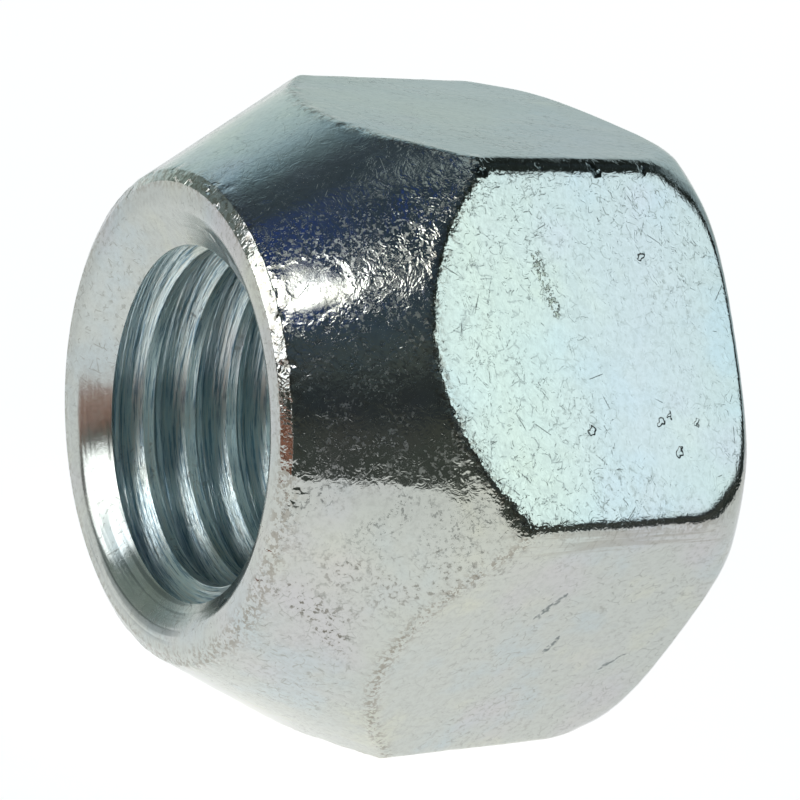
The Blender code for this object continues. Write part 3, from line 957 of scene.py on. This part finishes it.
class NUT_OT_stage(bpy.types.Operator):
    """Lays the pale floor and sets up the studio light and the camera"""
    bl_idname = "wheel_nut.stage"
    bl_label = "Stage"
    bl_options = {'REGISTER', 'UNDO'}

    def execute(self, context):
        studio = context.scene.nut_studio
        self.floor(studio)
        self.hood()
        card("right_panel", 139, 32, 0.45, 36, 30, (0.84, 1.03, 1.10), studio.panel_glow,
             edge=(0.2, 0.2), slope=0.5)
        card("left_window", -76, 26, 0.20, 34, 40, (0.95, 0.98, 1.0), studio.window_glow,
             edge=(0.1, 0.1))
        card("small_lamp", -119.6, 55.7, 0.07, 20, 7, (1.0, 0.99, 0.97), studio.lamp_glow,
             edge=(0.35, 0.25), turn=-35)
        card("blue_screen", -106.6, 60.8, 0.075, 56, 12.5, (0.025, 0.066, 0.31), 1.0,
             edge=(0.25, 0.3), turn=-36, patches=0.85)
        card("brown_board", -100, -4.3, 0.066, 50, 12, (0.31, 0.145, 0.10), 1.0,
             edge=(0.15, 0.15))
        card("dark_board", -158, -0.5, 0.078, 72, 14, (0.063, 0.073, 0.066), 1.0,
             edge=(0.04, 0.04))
        card("corner_board", 144, -6, 0.09, 52, 16, (0.05, 0.06, 0.06), 1.0)
        self.world(context)
        self.camera(context)
        context.scene.view_settings.view_transform = 'Standard'
        return {'FINISHED'}

    def floor(self, studio):
        bm = bmesh.new()
        bmesh.ops.create_circle(bm, cap_ends=True, segments=96, radius=3.0)
        floor = new_object("floor", bm)
        mat, n, glow, out = glow_material("white_floor", (1.0, 1.0, 1.0), studio.floor_glow)
        paper = n.add("ShaderNodeBsdfDiffuse", {"Color": (0.7, 0.7, 0.7, 1.0)})
        rays, seen = seen_rays(n)
        place = n.add("ShaderNodeTexCoord").outputs["Object"]
        part = n.split(place)
        reach = n.vector('LENGTH', place)["Value"]
        # Painted light and shade as the metal sees the floor: brighter toward the seat end and
        # the front, a little darker away from the nut
        lit = n.ramp(n.math('ADD', part["X"], part["Y"]), 0.003, -0.017,
                     studio.floor_glow * 0.96, studio.floor_glow * 1.09)
        lit = n.times(lit, n.ramp(reach, 0.020, 0.050, 1.0, 0.9))
        n.put(glow.inputs["Strength"], n.add("ShaderNodeMix", {
            0: rays["Is Camera Ray"], 2: n.times(seen, lit), 3: 0.9}).outputs[0])
        both = n.add("ShaderNodeAddShader", {0: glow.outputs[0], 1: paper.outputs[0]})
        n.put(out.inputs["Surface"], both.outputs[0])
        floor.data.materials.append(mat)

    def hood(self):
        """A dim half dome round the nut, paler behind it, that the camera doesn't see."""
        bm = bmesh.new()
        bmesh.ops.create_uvsphere(bm, u_segments=64, v_segments=32, radius=1.0)
        bmesh.ops.bisect_plane(bm, geom=bm.verts[:] + bm.edges[:] + bm.faces[:],
                               plane_co=(0, 0, 0.005), plane_no=(0, 0, -1), clear_outer=True)
        bmesh.ops.reverse_faces(bm, faces=bm.faces)
        hood = new_object("studio_hood", bm)
        mat, n, glow, _ = glow_material("dim_hood", (0.07, 0.08, 0.085), 1.0)
        place = n.add("ShaderNodeTexCoord").outputs["Object"]
        part = n.split(place)
        height = n.times(n.math('ARCSINE', part["Z"]), 180 / math.pi)
        around = n.times(n.math('ARCTAN2', part["X"], part["Y"]), 180 / math.pi)
        level = n.math('DIVIDE', height, 80.0)
        behind = n.times(n.ramp(around, -24, -6), n.ramp(around, 62, 98, 1.0, 0.0))
        beside = n.times(n.ramp(around, 60, 98), n.ramp(around, 104, 98, 0.0, 1.0))
        front = self.bands(n, level, (
            (0.00, (0.068, 0.074, 0.066)), (0.14, (0.068, 0.074, 0.066)),
            (0.20, (0.036, 0.043, 0.046)), (0.33, (0.036, 0.043, 0.046)),
            (0.41, (0.078, 0.093, 0.088)), (0.54, (0.060, 0.085, 0.105)),
            (0.70, (0.038, 0.058, 0.082)), (1.00, (0.040, 0.060, 0.085))))
        left = self.bands(n, level, (
            (0.00, (0.42, 0.47, 0.46)), (0.07, (0.26, 0.30, 0.29)),
            (0.16, (0.22, 0.27, 0.25)), (0.36, (0.20, 0.25, 0.24)),
            (0.55, (0.07, 0.09, 0.10)), (1.00, (0.040, 0.060, 0.085))))
        front = n.mix(n.times(n.ramp(around, -64, -52),
                              n.ramp(around, 20, 0, 0.0, 1.0)), front, left)
        dark_side = n.times(n.ramp(around, 96, 104),
                            n.ramp(around, 126, 119, 0.0, 1.0))
        front = n.mix(dark_side, front, UNLIT)
        front = n.mix(n.times(n.ramp(around, 96, 112), n.ramp(level, 0.45, 0.52)),
                      front, UNLIT)
        wall = self.bands(n, level, (
            (0.00, (0.86, 0.93, 0.91)), (0.10, (0.66, 0.78, 0.79)),
            (0.28, (0.58, 0.73, 0.77)), (0.42, (0.52, 0.67, 0.72)),
            (0.52, (0.38, 0.52, 0.59)), (0.62, (0.17, 0.24, 0.27)),
            (0.74, (0.065, 0.085, 0.11)), (1.00, (0.05, 0.07, 0.10))))
        above = n.math('MULTIPLY_ADD', n.ramp(around, 40, 50), -0.14, level)
        wall = n.mix(n.times(n.ramp(around, 24, 40), n.ramp(above, 0.24, 0.36)),
                     wall, UNLIT)
        turned = n.ramp(around, 14, 30, 1.0, 0.82)
        wall = n.mix(1.0, wall, n.combine(turned, turned, turned), 'MULTIPLY')
        side = self.bands(n, level, (
            (0.00, (0.60, 0.70, 0.72)), (0.35, (0.38, 0.50, 0.55)),
            (0.58, (0.025, 0.034, 0.033)), (1.00, UNLIT[:3])))
        colour = n.mix(beside, n.mix(behind, front, wall), side)
        # A soft patch overhead, a little behind the zenith
        behind_zenith = math.radians(10)
        top = n.math('MULTIPLY_ADD', part["Y"], math.sin(behind_zenith),
                     n.times(part["Z"], math.cos(behind_zenith)))
        colour = n.mix(n.ramp(top, 0.970, 0.990), colour, OVERHEAD)
        n.put(glow.inputs["Color"], colour)
        hood.data.materials.append(mat)
        hood.visible_camera = False

    def bands(self, n, level, stops):
        """A colour ramp over the height of the hood."""
        ramp = n.add("ShaderNodeValToRGB", {0: level})
        stop = ramp.color_ramp.elements
        stop[0].position, stop[0].color = stops[0][0], (*stops[0][1], 1)
        stop[1].position, stop[1].color = stops[-1][0], (*stops[-1][1], 1)
        for at, colour in stops[1:-1]:
            stop.new(at).color = (*colour, 1)
        return ramp.outputs[0]

    def world(self, context):
        world = bpy.data.worlds.new("pale_studio")
        context.scene.world = world
        world.use_nodes = True
        n = Nodes(world.node_tree)
        n.tree.nodes.clear()
        _, seen = seen_rays(n)
        back = n.add("ShaderNodeBackground", {
            "Color": (1, 1, 1, 1), "Strength": n.math('MULTIPLY_ADD', seen, 0.6, 0.4)})
        n.put(n.add("ShaderNodeOutputWorld").inputs["Surface"], back.outputs[0])

    def camera(self, context):
        """The lens, the turn and the stand point were fitted to the nut's outline."""
        data = bpy.data.cameras.new("camera")
        data.lens = 121.24
        data.sensor_width = 36.0
        data.clip_start = 0.002
        data.clip_end = 10.0
        camera = bpy.data.objects.new("camera", data)
        stand = (-0.043759, -0.068003, 0.034578)
        yaw, pitch, roll = math.radians(33.35), math.radians(-16.94), math.radians(8.69)
        ahead = Vector((math.sin(yaw) * math.cos(pitch), math.cos(yaw) * math.cos(pitch),
                        math.sin(pitch)))
        level = Vector((math.cos(yaw), -math.sin(yaw), 0.0))
        rise = level.cross(ahead)
        right = level * math.cos(roll) + rise * math.sin(roll)
        up = rise * math.cos(roll) - level * math.sin(roll)
        turn = Matrix((right, up, -ahead)).transposed().to_4x4()
        camera.matrix_world = Matrix.Translation(stand) @ turn
        context.scene.collection.objects.link(camera)
        context.scene.camera = camera


class NUT_PT_panel(bpy.types.Panel):
    """Lists the sizes, the finish and the build steps"""
    bl_label = "Wheel nut"
    bl_idname = "NUT_PT_panel"
    bl_space_type = 'VIEW_3D'
    bl_region_type = 'UI'
    bl_category = "Wheel nut"

    def draw(self, context):
        layout = self.layout
        for title, group, operator in (("Sizes", context.scene.nut_sizes, "wheel_nut.body"),
                                       ("Finish", context.scene.nut_finish, None),
                                       ("Studio", context.scene.nut_studio,
                                        "wheel_nut.stage")):
            box = layout.box()
            box.label(text=title)
            for name in group.bl_rna.properties.keys():
                if name not in ("rna_type", "name"):
                    box.prop(group, name)
            if operator:
                box.operator(operator)


CLASSES = (NutSizes, NutFinish, StudioSettings, NUT_OT_body, NUT_OT_stage, NUT_PT_panel)


def register():
    for cls in CLASSES:
        bpy.utils.register_class(cls)
    bpy.types.Scene.nut_sizes = PointerProperty(type=NutSizes)
    bpy.types.Scene.nut_finish = PointerProperty(type=NutFinish)
    bpy.types.Scene.nut_studio = PointerProperty(type=StudioSettings)


def unregister():
    del bpy.types.Scene.nut_studio
    del bpy.types.Scene.nut_finish
    del bpy.types.Scene.nut_sizes
    for cls in reversed(CLASSES):
        bpy.utils.unregister_class(cls)


def main():
    register()
    bpy.ops.wheel_nut.body()
    bpy.ops.wheel_nut.stage()


if __name__ == "__main__":
    main()
